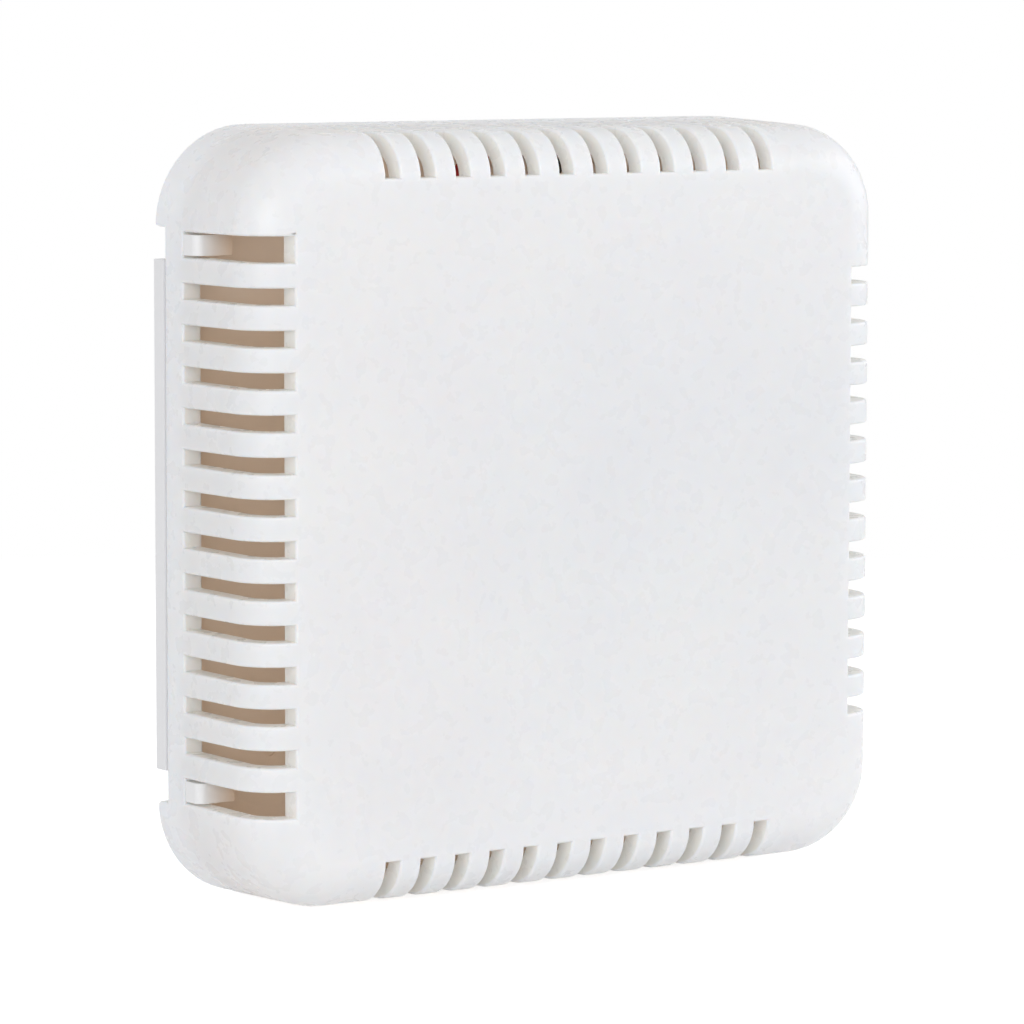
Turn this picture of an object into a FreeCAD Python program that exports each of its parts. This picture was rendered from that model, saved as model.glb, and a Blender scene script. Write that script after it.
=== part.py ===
import FreeCAD
import Part

import math
import os
from FreeCAD import Vector

# Room temperature sensor for a wall: a vented square cover clipped over a base plate
# that carries two cells and a radio board.
# Units are millimetres. X is to the right and Z is up as seen from the room.
# The wall is the plane y = 0 and the front face looks along -Y.

# Cover shell
cover_size = 80.0
cover_depth = 19.6
cover_rear_gap = 0.25
corner_radius = 10.3
front_edge_radius = 5.0
side_draft = 0.68
side_wall = 2.2
front_wall = 2.45

# Vents, as many on every side as its straight part takes. Their width is that at the
# front face, and each of their sides leans in by vent_draft on the way to their rear end.
vent_pitch = 4.24
vent_width = 1.76
vent_draft = 0.08
vent_rear_y = 5.4
vent_reach = 5.1

# Latch windows, drafted like the vents, and latches on the left side
window_height = 2.73
latch_width = 2.1
latch_thickness = 2.0
latch_front_y = 8.0
latch_catch_gap = 0.05
latch_nose_inset = 0.05
latch_nose_radius = 0.9
latch_wall_gap = 0.35

# Base plate
floor_thickness = 2.0
root = 0.5
base_clearance = 0.2
strip_window_gap = 0.31
strip_thickness = 1.93
strip_notch = 3.35
strip_seam = 0.1
wall_hole_radius = 2.1
wall_hole_spacing = 60.0
wall_boss_radius = 3.7
wall_boss_height = 0.8
spare_boss_edge = 9.9
spare_boss_z = 25.0
spare_boss_radius = 3.6
spare_boss_height = 0.3
spare_pilot_radius = 0.8
rear_panel_edge = 3.7
rear_panel_width = 18.0
rear_panel_end = 9.7
rear_panel_depth = 0.5
rear_panel_corner = 3.0
knockout_width = 16.0
knockout_height = 10.0
knockout_groove = 0.8
knockout_depth = 1.2

# Hooks on the right side
hook_length = 8.0
hook_corner_gap = 0.7
hook_post = 1.4
hook_reach = 0.65
hook_overlap = 0.45
hook_height = 3.0
hook_slope = 0.42
hook_play = 0.1
hook_bevel = 0.4
catch_rib_reach = 0.9
catch_rib_thickness = 0.8
catch_rib_gap = 0.3

# Battery holder and its two cells
cell_diameter = 10.5
cell_length = 43.7
cell_button_radius = 1.9
cell_button_height = 0.8
cell_edge_radius = 0.5
sleeve_thickness = 0.15
sleeve_inset = 0.6
sleeve_fit = 0.02
cell_clearance = 0.25
divider_thickness = 1.0
holder_wall = 1.2
holder_end_wall = 1.4
holder_floor = 1.6
holder_side_height = 9.6
holder_end_height = 11.6
holder_z = 0.0
divider_height = 5.5
holder_pad_height = 0.85
holder_pad_radius = 3.0
holder_screw_z = 13.0
holder_screw_head = 0.9
holder_screw_grip = 2.4
contact_thickness = 0.4
contact_width = 7.6
contact_height = 8.4
contact_touch = 0.05
contact_play = 0.1
contact_guide = 0.9
plus_dimple_height = 0.8
plus_dimple_radius = 1.5
plus_dimple_root = 2.25
spring_room = 3.0
spring_width = 3.4
spring_metal = 0.35
spring_low = 2.0
spring_set = 0.8
spring_lip = 0.56
tab_length = 2.6
tab_width = 2.4
tab_clearance = 0.05
bridge_slot = 1.2
bridge_low = 1.0
bridge_high = 4.0

# Circuit board and its fixings
board_width = 22.0
board_height = 40.0
board_thickness = 1.6
board_wall_gap = 1.4
board_holder_gap = 1.8
board_standoff = 3.0
standoff_radius = 2.3
board_corner_inset = 2.3
board_hole_radius = 1.2
board_corner_radius = 1.0
peg_height = 2.4
peg_fit = 0.05
tongue_width = 7.5
tongue_height = 9.0
tongue_slot = 1.0
tongue_neck = 2.4
board_support_x = 1.6
board_support_inset = 6.0
pilot_depth = 0.9

# Lead connector at the board's top edge, beside the screw there
connector_screw_gap = 1.4
connector_inset = 0.5
connector_pitch = 2.0
header_width = 6.0
header_height = 5.0
header_length = 7.0
header_wall = 0.8
header_back = 1.2
plug_clearance = 0.1
plug_length = 7.6
pin_radius = 0.3
pin_clearance = 0.1
pin_reach = 4.0
pin_tail = 0.6
pin_room = 1.5

# Parts soldered on the board: their sizes and their gaps to its edges and to each other
radio_side_gap = 1.2
radio_end_gap = 4.5
radio_width = 13.4
radio_length = 12.0
radio_thickness = 0.8
radio_margin = 0.8
shield_length = 7.4
shield_height = 2.2
shield_corner = 0.8
shield_edge = 0.27
trace_width = 0.5
trace_height = 0.1
trace_turns = 4
trace_span = 2.3
controller_gap = 1.25
controller_size = 7.0
controller_height = 1.2
controller_feet = 8
mark_inset = 1.0
mark_radius = 0.4
mark_depth = 0.1
memory_side_gap = 0.65
memory_slot_gap = 0.75
memory_width = 4.9
memory_length = 3.9
memory_height = 1.5
memory_feet = 4
pin_foot = 0.7
pin_width = 0.35
pin_margin = 0.5
crystal_width = 3.2
crystal_length = 2.5
crystal_height = 0.8
crystal_corner = 0.5
capacitor_side_gap = 0.4
capacitor_end_gap = 8.7
capacitor_radius = 2.9
capacitor_height = 5.4
capacitor_edge = 0.36
capacitor_base_size = 6.2
capacitor_base_height = 0.8
capacitor_base_chamfer = 0.9
sensor_size = 3.0
sensor_height = 0.9
sensor_window = 0.5
sensor_shift = 0.5
sensor_chip_gap = 1.2
led_gap = 2.675
led_width = 2.0
led_length = 1.25
led_height = 0.8
led_lens_width = 1.2
regulator_width = 2.9
regulator_length = 1.5
regulator_height = 1.1
chip_width = 1.6
chip_length = 0.8
chip_height = 0.5

# Small parts between the lamp and the storage capacitor: the distance of each from the
# board's left edge, and how far up that stretch it stands, from 0 to 1
regulator_place = (3.1, 0.64)
resistor_places = [(1.7, 0.25), (4.1, 0.25), (6.1, 0.77), (6.1, 0.61)]
capacitor_places = [(2.7, 0.85), (6.1, 0.41)]

# Pairing button on the board
button_side_gap = 0.4
button_end_gap = 5.2
button_size = 6.0
button_height = 3.2
button_cavity_radius = 2.4
button_cavity_depth = 2.0
button_frame_metal = 0.3
button_flange_radius = 2.2
button_flange = 0.8
button_stem_radius = 1.75
button_stem_rise = 1.2
button_fit = 0.08

# Screws
screw_radius = 1.0
screw_head_radius = 1.8
screw_head_height = 1.2
screw_head_edge = 0.3
screw_neck = 0.2
screw_tip_radius = 0.15
screw_cross_depth = 0.55
screw_cross_width = 0.5
screw_cross_length = 1.98
screw_grip = 3.2
screw_fit = 0.03

# Battery leads
lead_diameter = 1.2
lead_bend_radius = 4.0
lead_wall_gap = 1.05
lead_back_y = -5.0
lead_stack = 1.3
red_drop_shift = 0.5
black_drop_shift = -0.8
comb_length = 3.0
comb_wall = 0.9
comb_clearance = 0.05
comb_rise = 0.6
comb_bend_gap = 0.7
lead_end_gap = 0.18
red_tab_shift = -1.2
black_tab_shift = -0.1

# How far a cutting tool runs past the face that it opens
over = 1.0


def box(x_pair, y_pair, z_pair):
    """A block between two x, two y and two z values."""
    x0, x1 = sorted(x_pair)
    y0, y1 = sorted(y_pair)
    z0, z1 = sorted(z_pair)
    return Part.makeBox(x1 - x0, y1 - y0, z1 - z0, Vector(x0, y0, z0))


def block(centre_x, width, rear_y, height, centre_z, length):
    """A block that stands on the plane rear_y and rises towards the front."""
    return box(
        (centre_x - width / 2, centre_x + width / 2),
        (rear_y, rear_y - height),
        (centre_z - length / 2, centre_z + length / 2),
    )


def post(x, z, rear_y, front_y, radius):
    """A round post along Y between two planes."""
    return Part.makeCylinder(radius, rear_y - front_y, Vector(x, rear_y, z), Vector(0, -1, 0))


def rounded_outline(half_x, half_z, radius, y):
    """A closed rounded rectangle in the plane y."""
    k = radius * math.sqrt(0.5)
    edges = []
    corners = [(1, 1), (-1, 1), (-1, -1), (1, -1)]
    for index, (sx, sz) in enumerate(corners):
        cx = sx * (half_x - radius)
        cz = sz * (half_z - radius)
        on_side = Vector(sx * half_x, y, cz)
        on_end = Vector(cx, y, sz * half_z)
        middle = Vector(cx + sx * k, y, cz + sz * k)
        first, last = (on_side, on_end) if sx * sz > 0 else (on_end, on_side)
        edges.append(Part.Arc(first, middle, last).toShape())
        nx, nz = corners[(index + 1) % 4]
        after = Vector(nx * (half_x - radius), y, nz * half_z)
        if nz != sz:
            after = Vector(nx * half_x, y, nz * (half_z - radius))
        edges.append(Part.LineSegment(last, after).toShape())
    return Part.Wire(edges)


def rounded_block(half_x, half_z, radius, rear_y, front_y):
    """A rounded rectangle drawn out along Y."""
    face = Part.Face(rounded_outline(half_x, half_z, radius, rear_y))
    return face.extrude(Vector(0, front_y - rear_y, 0))


def rim_edges(solid, y):
    """The edges of a solid that lie in the plane y."""
    return [e for e in solid.Edges if all(abs(v.Y - y) < 1e-6 for v in e.Vertexes)]


def drafted_block(half_size, radius, rear_y, front_y, edge_radius):
    """A block whose sides lean in by the cover's draft, with a rounded front edge."""
    wires = []
    for y in (rear_y, front_y):
        lean = side_draft * -y / cover_depth
        wires.append(rounded_outline(half_size - lean, half_size - lean, radius - lean, y))
    solid = Part.makeLoft(wires, True, True)
    return solid.makeFillet(edge_radius, rim_edges(solid, front_y))


def prism(points, z_pair):
    """A polygon in the XY plane drawn out along Z."""
    z0, z1 = sorted(z_pair)
    wire = Part.makePolygon([Vector(x, y, z0) for x, y in points + points[:1]])
    return Part.Face(wire).extrude(Vector(0, 0, z1 - z0))


def fuse(first, *others):
    return first.fuse(list(others)).removeSplitter()


def cut(solid, *tools):
    return solid.cut(list(tools))


# Places that several pieces share
half_cover = cover_size / 2
floor_y = -floor_thickness
inner_front_y = -(cover_depth - front_wall)
half_inner = half_cover - side_wall
half_base = half_inner - base_clearance
base_corner = corner_radius - side_wall - base_clearance
straight_room = half_cover - corner_radius - window_height - vent_pitch + vent_width / 2
vent_count = 1 + int(2 * straight_room / vent_pitch)
vent_span = (vent_count - 1) * vent_pitch
window_z = vent_span / 2 + vent_pitch - vent_width / 2 + window_height / 2
latch_outer_x = -(half_inner - latch_wall_gap)
latch_inner_x = latch_outer_x + latch_thickness
strip_half_length = window_z - window_height / 2 - strip_window_gap
strip_cut_half = strip_half_length + strip_notch
hook_z = half_base - base_corner - hook_corner_gap - hook_length / 2
spare_boss_x = spare_boss_edge - half_base
rear_panel_x = half_base - rear_panel_edge - rear_panel_width / 2
rear_panel_height = 2 * (half_base - rear_panel_end)
lead_run_z = half_inner - lead_wall_gap


def side_offset(y):
    """How far the cover's sides have leaned in at depth y."""
    return side_draft * -y / cover_depth


def vent_cutter(centre, width, turn):
    """A drafted block that opens the top side, turned about the depth axis by so many degrees."""
    rear_half = width / 2 - vent_draft
    front_half = width / 2 + vent_draft * over / (cover_depth - vent_rear_y)
    points = [
        (centre - rear_half, -vent_rear_y),
        (centre + rear_half, -vent_rear_y),
        (centre + front_half, -cover_depth - over),
        (centre - front_half, -cover_depth - over),
    ]
    tool = prism(points, (half_cover - vent_reach, half_cover + over))
    tool.rotate(Vector(0, 0, 0), Vector(0, 1, 0), turn)
    return tool


def vent_cutters():
    """The vents of all four sides."""
    centres = [index * vent_pitch - vent_span / 2 for index in range(vent_count)]
    return [vent_cutter(centre, vent_width, turn) for centre in centres for turn in (0, 90, 180, 270)]


def window_cutters():
    """The two taller latch windows beyond the left row of vents."""
    return [vent_cutter(side * window_z, window_height, 270) for side in (-1, 1)]


def catch_rib(side):
    """A rib inside the cover's right wall that a hook of the base holds."""
    y_rear = floor_y - catch_rib_gap
    x_pair = (half_inner - catch_rib_reach, half_inner + side_wall / 2)
    z_pair = (side * hook_z - hook_length / 2, side * hook_z + hook_length / 2)
    return box(x_pair, (y_rear, y_rear - catch_rib_thickness), z_pair)


def front_cover():
    outer = drafted_block(half_cover, corner_radius, -cover_rear_gap, -cover_depth, front_edge_radius)
    hollow = drafted_block(
        half_inner, corner_radius - side_wall, over, inner_front_y, front_edge_radius - front_wall
    )
    shell = outer.cut(hollow)
    rim = box(
        (-half_cover - over, -half_inner + over),
        (over, -(strip_thickness + strip_seam)),
        (-strip_cut_half, strip_cut_half),
    )
    shell = cut(shell, rim, *(vent_cutters() + window_cutters()))
    return fuse(shell, catch_rib(1), catch_rib(-1))


def hook(side):
    """A post with a sloped nose that reaches over a catch rib."""
    nose_x = half_inner - catch_rib_reach + hook_overlap
    rear_y = floor_y - catch_rib_gap - catch_rib_thickness - hook_play
    front_y = floor_y - hook_height
    inner_x = nose_x - hook_reach - hook_post
    post_x = nose_x - hook_reach
    points = [
        (inner_x, floor_y + root),
        (post_x, floor_y + root),
        (post_x, rear_y),
        (nose_x, rear_y - hook_slope),
        (nose_x, front_y + hook_bevel),
        (nose_x - hook_bevel, front_y),
        (inner_x, front_y),
    ]
    return prism(points, (side * hook_z - hook_length / 2, side * hook_z + hook_length / 2))


def bay_places():
    """Centre x of the left and right cell bays."""
    reach = (bay_width + divider_thickness) / 2
    return holder_x - reach, holder_x + reach


def holder_screw_places():
    left, right = bay_places()
    return [(left, holder_z + holder_screw_z), (right, holder_z - holder_screw_z)]


def board_corner(sx, sz):
    x = board_x + sx * (board_width / 2 - board_corner_inset)
    z = sz * (board_height / 2 - board_corner_inset)
    return x, z


def board_screw_places():
    return [board_corner(-1, 1), board_corner(1, -1)]


def lead_comb(x, back_y):
    """A grooved block that holds the leads one before the other above the floor."""
    front_y = lead_back_y - lead_stack - lead_diameter / 2 - comb_rise
    groove = lead_diameter / 2 + comb_clearance
    body = box(
        (x - comb_length / 2, x + comb_length / 2),
        (floor_y + root, front_y),
        (lead_run_z - groove - comb_wall, lead_run_z + groove),
    )
    seat = box(
        (x - comb_length, x + comb_length),
        (back_y + groove, front_y - over),
        (lead_run_z - groove, lead_run_z + groove + over),
    )
    return body.cut(seat)


board_rear_y = floor_y - board_standoff
board_front_y = board_rear_y - board_thickness
holder_rear_y = floor_y - holder_pad_height


def floor_post(x, z, height, radius):
    """A round boss rooted in the floor."""
    return post(x, z, floor_y + root, floor_y - height, radius)


def pilot(x, z, seat_y):
    """A blind hole for a screw, open at the plane seat_y."""
    return post(x, z, floor_y + pilot_depth, seat_y - over, screw_radius + screw_fit)


def rear_panels():
    """Shallow panels in the wall side, the left one with the cable knock-out's groove."""
    tools = []
    for side in (-1, 1):
        half_width, half_height = rear_panel_width / 2, rear_panel_height / 2
        panel = rounded_block(half_width, half_height, rear_panel_corner, over, -rear_panel_depth)
        panel.translate(Vector(side * rear_panel_x, 0, 0))
        tools.append(panel)
    outer = block(-rear_panel_x, knockout_width, 0, knockout_depth, 0, knockout_height)
    inner_width = knockout_width - 2 * knockout_groove
    inner_height = knockout_height - 2 * knockout_groove
    inner = block(-rear_panel_x, inner_width, over, knockout_depth + 2 * over, 0, inner_height)
    tools.append(outer.cut(inner))
    return tools


def base_plate():
    plate = rounded_block(half_base, half_base, base_corner, 0.0, floor_y)
    strip = box(
        (-half_cover, -half_base + over), (0, -strip_thickness), (-strip_half_length, strip_half_length)
    )
    solids = [strip, hook(1), hook(-1)]
    solids.append(lead_comb(left_comb_x, lead_back_y - lead_stack))
    solids.append(lead_comb(right_comb_x, lead_back_y))
    tools = rear_panels()
    for side in (-1, 1):
        z = side * wall_hole_spacing / 2
        solids.append(floor_post(0, z, wall_boss_height, wall_boss_radius))
        tools.append(post(0, z, over, floor_y - wall_boss_height - over, wall_hole_radius))
        z = side * spare_boss_z
        solids.append(floor_post(spare_boss_x, z, spare_boss_height, spare_boss_radius))
        tools.append(post(spare_boss_x, z, floor_y, floor_y - spare_boss_height - over, spare_pilot_radius))
    for x, z in holder_screw_places():
        solids.append(floor_post(x, z, holder_pad_height, holder_pad_radius))
        tools.append(pilot(x, z, holder_rear_y))
    for x, z in board_screw_places():
        solids.append(floor_post(x, z, board_standoff, standoff_radius))
        tools.append(pilot(x, z, board_rear_y))
    x, z = board_corner(-1, -1)
    solids.append(floor_post(x, z, board_standoff, standoff_radius))
    solids.append(floor_post(x, z, board_standoff + peg_height, board_hole_radius - peg_fit))
    x, z = board_x + board_support_x, board_height / 2 - board_support_inset
    solids.append(floor_post(x, z, board_standoff, standoff_radius))
    return cut(fuse(plate, *solids), *tools)


def latch(side):
    """A snap arm on the floor whose nose fills a window of the cover."""
    nose_x = -(half_cover - side_offset(-latch_front_y)) + latch_nose_inset
    catch_y = -(vent_rear_y + latch_catch_gap)
    front_y = -latch_front_y
    points = [
        (latch_inner_x, floor_y),
        (latch_outer_x, floor_y),
        (latch_outer_x, catch_y),
        (nose_x, catch_y),
        (nose_x, front_y),
        (latch_inner_x, front_y),
    ]
    centre = side * window_z
    arm = prism(points, (centre - latch_width / 2, centre + latch_width / 2))
    corner = [
        e for e in arm.Edges
        if all(abs(v.X - nose_x) < 1e-6 and abs(v.Y - front_y) < 1e-6 for v in e.Vertexes)
    ]
    return arm.makeFillet(latch_nose_radius, corner)


def battery_holder():
    """An open tray with a divider, guides for the contacts and slots for their tabs."""
    half_x = holder_half_width
    half_z = bay_half + holder_end_wall
    rear = holder_rear_y
    side_y = rear - holder_side_height
    inner_width = 2 * (half_x - holder_wall)
    outer_width = 2 * (half_x + over)
    tray = block(holder_x, 2 * half_x, rear, holder_end_height, holder_z, 2 * half_z)
    inside = block(holder_x, inner_width, bay_floor_y, holder_end_height, holder_z, 2 * bay_half)
    lowered = block(holder_x, outer_width, side_y, holder_end_height, holder_z, 2 * bay_half)
    tray = cut(tray, inside, lowered)
    length = 2 * (bay_half - bridge_slot)
    foot_y, height = bay_floor_y + root, divider_height + root
    solids = [block(holder_x, divider_thickness, foot_y, height, holder_z, length)]
    guide_x = (contact_width + contact_guide) / 2 + contact_play
    for x in bay_places():
        outward = math.copysign(guide_x, x - holder_x)
        for end in (-1, 1):
            z = holder_z + end * (bay_half - contact_guide / 2 + root / 2)
            length = contact_guide + root
            solids.append(
                block(x + outward, contact_guide, bay_floor_y + root, contact_height, z, length)
            )
    tools = []
    for x, z in holder_screw_places():
        seat = bay_floor_y + holder_screw_head
        tools.append(post(x, z, rear + over, seat - over, screw_radius + screw_fit))
        tools.append(post(x, z, seat, bay_floor_y - over, screw_head_radius + contact_play))
    for x in (red_start_x, black_start_x):
        half = tab_width / 2 + tab_clearance
        y_pair = (tab_rear_y + tab_clearance, tab_rear_y - contact_thickness - tab_clearance)
        z_pair = (holder_z + bay_half - root, holder_z + half_z + over)
        tools.append(box((x - half, x + half), y_pair, z_pair))
    return cut(fuse(tray, *solids), *tools)


def cell_ends(index):
    """z of the button tip and of the flat end of a cell, the left cell pointing up."""
    up = 1 if index == 0 else -1
    inner = holder_z + up * bay_half
    tip = inner - up * (contact_thickness + plus_dimple_height + contact_touch)
    flat = tip - up * (cell_button_height + cell_length)
    return up, tip, flat


def cell(index):
    x = bay_places()[index]
    up, tip, flat = cell_ends(index)
    can_radius = cell_diameter / 2 - sleeve_thickness - sleeve_fit
    axis = Vector(0, 0, up)
    can = Part.makeCylinder(can_radius, cell_length, Vector(x, cell_y, flat), axis)
    rim = [e for e in can.Edges if len(e.Vertexes) == 1]
    can = can.makeFillet(cell_edge_radius, rim)
    height = cell_button_height + root
    button = Part.makeCylinder(cell_button_radius, height, Vector(x, cell_y, tip - up * height), axis)
    return fuse(can, button)


def sleeve(index):
    """The printed jacket round a cell, open at both ends."""
    x = bay_places()[index]
    up, tip, flat = cell_ends(index)
    axis = Vector(0, 0, up)
    start = Vector(x, cell_y, flat + up * sleeve_inset)
    length = cell_length - 2 * sleeve_inset
    outer = Part.makeCylinder(cell_diameter / 2, length, start, axis)
    inner = Part.makeCylinder(cell_diameter / 2 - sleeve_thickness, length, start, axis)
    return outer.cut(inner)


def contact_plate(x, end):
    """A flat plate against an end wall of the holder."""
    z = holder_z + end * bay_half
    y_pair = (bay_floor_y, bay_floor_y - contact_height)
    return box((x - contact_width / 2, x + contact_width / 2), y_pair, (z, z - end * contact_thickness))


def plus_dimple(x, end):
    z = holder_z + end * (bay_half - contact_thickness / 2)
    height = contact_thickness / 2 + plus_dimple_height
    axis = Vector(0, 0, -end)
    return Part.makeCone(plus_dimple_root, plus_dimple_radius, height, Vector(x, cell_y, z), axis)


def leaf_spring(x, end):
    """A bowed leaf that bears on the flat end of a cell."""
    z = holder_z + end * (bay_half - contact_thickness)
    tip_z = holder_z + end * (bay_half - contact_thickness - spring_room + contact_touch)
    top_y = bay_floor_y - contact_height
    low_y = bay_floor_y - spring_low
    metal = spring_metal
    path = [
        (top_y, z + end * contact_thickness / 2),
        (cell_y, tip_z),
        (low_y, z - end * spring_set),
        (low_y, z - end * (spring_set - metal)),
        (cell_y, tip_z + end * metal),
        (top_y + spring_lip, z + end * contact_thickness / 2),
    ]
    wire = Part.makePolygon([Vector(x - spring_width / 2, y, z) for y, z in path + path[:1]])
    return Part.Face(wire).extrude(Vector(spring_width, 0, 0))


def solder_tab(x):
    z_pair = (holder_z + bay_half - contact_thickness / 2, tab_end_z)
    x_pair = (x - tab_width / 2, x + tab_width / 2)
    return box(x_pair, (tab_rear_y, tab_rear_y - contact_thickness), z_pair)


def plus_contact():
    x = bay_places()[0]
    return fuse(contact_plate(x, 1), plus_dimple(x, 1), solder_tab(red_start_x))


def minus_contact():
    x = bay_places()[1]
    return fuse(contact_plate(x, 1), leaf_spring(x, 1), solder_tab(black_start_x))


def bridge_contact():
    left, right = bay_places()
    z = holder_z - bay_half
    y_pair = (bay_floor_y - bridge_low, bay_floor_y - bridge_high)
    link = box((left, right), y_pair, (z, z + contact_thickness))
    plates = [contact_plate(left, -1), contact_plate(right, -1)]
    return fuse(link, *plates, leaf_spring(left, -1), plus_dimple(right, -1))


def screw(x, z, seat_y, head_height, grip):
    """A cross-headed screw whose head sits on the plane seat_y."""
    front_y = seat_y - head_height
    head = post(x, z, seat_y, front_y, screw_head_radius)
    head = head.makeFillet(screw_head_edge, rim_edges(head, front_y))
    shoulder_y = seat_y + grip - screw_radius
    shank = post(x, z, shoulder_y, seat_y - screw_neck, screw_radius)
    shoulder = Vector(x, shoulder_y, z)
    tip = Part.makeCone(screw_radius, screw_tip_radius, screw_radius, shoulder, Vector(0, 1, 0))
    recess_y = front_y + screw_cross_depth
    height = screw_cross_depth + over
    tools = [
        block(x, screw_cross_length, recess_y, height, z, screw_cross_width),
        block(x, screw_cross_width, recess_y, height, z, screw_cross_length),
    ]
    return cut(fuse(head, shank, tip), *tools)


def holder_screws():
    seat = bay_floor_y + holder_screw_head
    return [screw(x, z, seat, holder_screw_head, holder_screw_grip) for x, z in holder_screw_places()]


def board_screws():
    grip = board_thickness + screw_grip
    return [screw(x, z, board_front_y, screw_head_height, grip) for x, z in board_screw_places()]


def lead(points):
    """A round lead along straight runs joined by tangent arcs."""
    points = [Vector(*p) for p in points]
    edges = []
    start = points[0]
    for before, corner, after in zip(points, points[1:], points[2:]):
        back = (before - corner).normalize()
        forth = (after - corner).normalize()
        turn = math.pi - back.getAngle(forth)
        reach = lead_bend_radius * math.tan(turn / 2)
        bend_start = corner + back * reach
        bend_end = corner + forth * reach
        inward = (back + forth).normalize()
        middle = corner + inward * (lead_bend_radius / math.cos(turn / 2) - lead_bend_radius)
        edges.append(Part.LineSegment(start, bend_start).toShape())
        edges.append(Part.Arc(bend_start, middle, bend_end).toShape())
        start = bend_end
    edges.append(Part.LineSegment(start, points[-1]).toShape())
    path = Part.Wire(edges)
    length = path.Length
    heading = (points[1] - points[0]).normalize()
    circle = Part.Wire(Part.Circle(points[0], heading, lead_diameter / 2).toShape())
    solid = path.makePipeShell([circle], True, True)
    section = math.pi * lead_diameter ** 2 / 4
    print("lead length", round(length, 2), "bend radius", lead_bend_radius)
    print("lead volume over section times length", round(solid.Volume / (section * length), 4))
    return solid


def red_lead():
    front_y = lead_back_y - lead_stack
    pin_x = pin_places()[0]
    return lead([
        (red_start_x, lead_back_y, tab_end_z + lead_end_gap),
        (red_start_x, front_y, lead_run_z),
        (pin_x + red_drop_shift, front_y, lead_run_z),
        (pin_x, plug_y, plug_end_z + lead_end_gap),
    ])


def black_lead():
    pin_x = pin_places()[1]
    return lead([
        (black_start_x, lead_back_y, tab_end_z + lead_end_gap),
        (black_start_x, lead_back_y, lead_run_z),
        (pin_x + black_drop_shift, lead_back_y, lead_run_z),
        (pin_x, plug_y, plug_end_z + lead_end_gap),
    ])


def pin_places():
    """Centre x of the connector's two ways."""
    return header_x - connector_pitch / 2, header_x + connector_pitch / 2


def lead_header():
    """The shroud at the board's edge that takes the plug."""
    centre = header_z + header_length / 2
    body = block(header_x, header_width, board_front_y, header_height, centre, header_length)
    inner = header_width / 2 - header_wall
    well = box(
        (header_x - inner, header_x + inner),
        (board_front_y - header_wall, board_front_y - header_height + header_wall),
        (header_z + header_back, header_z + header_length + over),
    )
    start = header_z - over
    holes = [bore(x, pin_radius + screw_fit, start, header_back + 2 * over) for x in pin_places()]
    return cut(body, well, *holes)


def bore(x, radius, start_z, length):
    """A round tool up one way of the connector."""
    return Part.makeCylinder(radius, length, Vector(x, plug_y, start_z), Vector(0, 0, 1))


def header_pins():
    """Bent pins from the board's holes into the shroud."""
    pins = []
    for x in pin_places():
        leg = post(x, pin_leg_z, board_rear_y + pin_tail, plug_y, pin_radius)
        elbow = Part.makeSphere(pin_radius, Vector(x, plug_y, pin_leg_z))
        arm = bore(x, pin_radius, pin_leg_z, header_z + header_back + pin_reach - pin_leg_z)
        pins.append(fuse(leg, elbow, arm))
    return pins


def lead_plug():
    width = header_width - 2 * (header_wall + plug_clearance)
    height = header_height - 2 * (header_wall + plug_clearance)
    rear_y = board_front_y - header_wall - plug_clearance
    start = plug_end_z - plug_length
    body = block(header_x, width, rear_y, height, plug_end_z - plug_length / 2, plug_length)
    depth = pin_reach + pin_room
    holes = [bore(x, pin_radius + pin_clearance, start - over, depth) for x in pin_places()]
    return cut(body, *holes)


def upright_edges(solid, length):
    """The straight edges of a block that run along its height."""
    return [e for e in solid.Edges if abs(e.Length - length) < 1e-6]


def on_board(offset_x, width, height, offset_z, length):
    """A block soldered on the board's front."""
    return block(board_x + offset_x, width, board_front_y, height, offset_z, length)


def circuit_board():
    """The board, with a tongue for the sensor cut free on two sides."""
    board = block(board_x, board_width, board_rear_y, board_thickness, 0, board_height)
    board = board.makeFillet(board_corner_radius, upright_edges(board, board_thickness))
    rear, front = board_rear_y + over, board_front_y - over
    corners = board_screw_places() + [board_corner(-1, -1)]
    tools = [post(x, z, rear, front, board_hole_radius) for x, z in corners]
    tools += [post(x, pin_leg_z, rear, front, pin_radius + pin_clearance) for x in pin_places()]
    right = board_x + board_width / 2
    slot_x = right - tongue_width - tongue_slot
    tools.append(box((slot_x, slot_x + tongue_slot), (rear, front), (slot_z, board_top + over)))
    tools.append(box((slot_x, right - tongue_neck), (rear, front), (slot_z, slot_z + tongue_slot)))
    return cut(board, *tools)


def radio_module():
    return on_board(radio_x, radio_width, radio_thickness, radio_z, radio_length)


def radio_shield():
    """The metal can over the lower part of the radio module."""
    width = radio_width - 2 * radio_margin
    z = radio_z - radio_length / 2 + radio_margin + shield_length / 2
    can = block(board_x + radio_x, width, radio_front_y, shield_height, z, shield_length)
    can = can.makeFillet(shield_corner, upright_edges(can, shield_height))
    return can.makeFillet(shield_edge, rim_edges(can, radio_front_y - shield_height))


def radio_antenna():
    """The printed aerial that zigzags across the module's free end."""
    high_z = radio_z + radio_length / 2 - radio_margin
    low_z = high_z - trace_span
    bars_count = 2 * trace_turns
    span = radio_width - 2 * radio_margin - trace_width
    step = span / (bars_count - 1)
    bars = []
    for index in range(bars_count):
        x = board_x + radio_x - span / 2 + index * step
        middle = (low_z + high_z) / 2
        bars.append(block(x, trace_width, radio_front_y, trace_height, middle, trace_span))
        if index < bars_count - 1:
            z = high_z - trace_width / 2 if index % 2 == 0 else low_z + trace_width / 2
            bars.append(block(x + step / 2, step, radio_front_y, trace_height, z, trace_width))
    return fuse(bars[0], *bars[1:])


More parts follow.
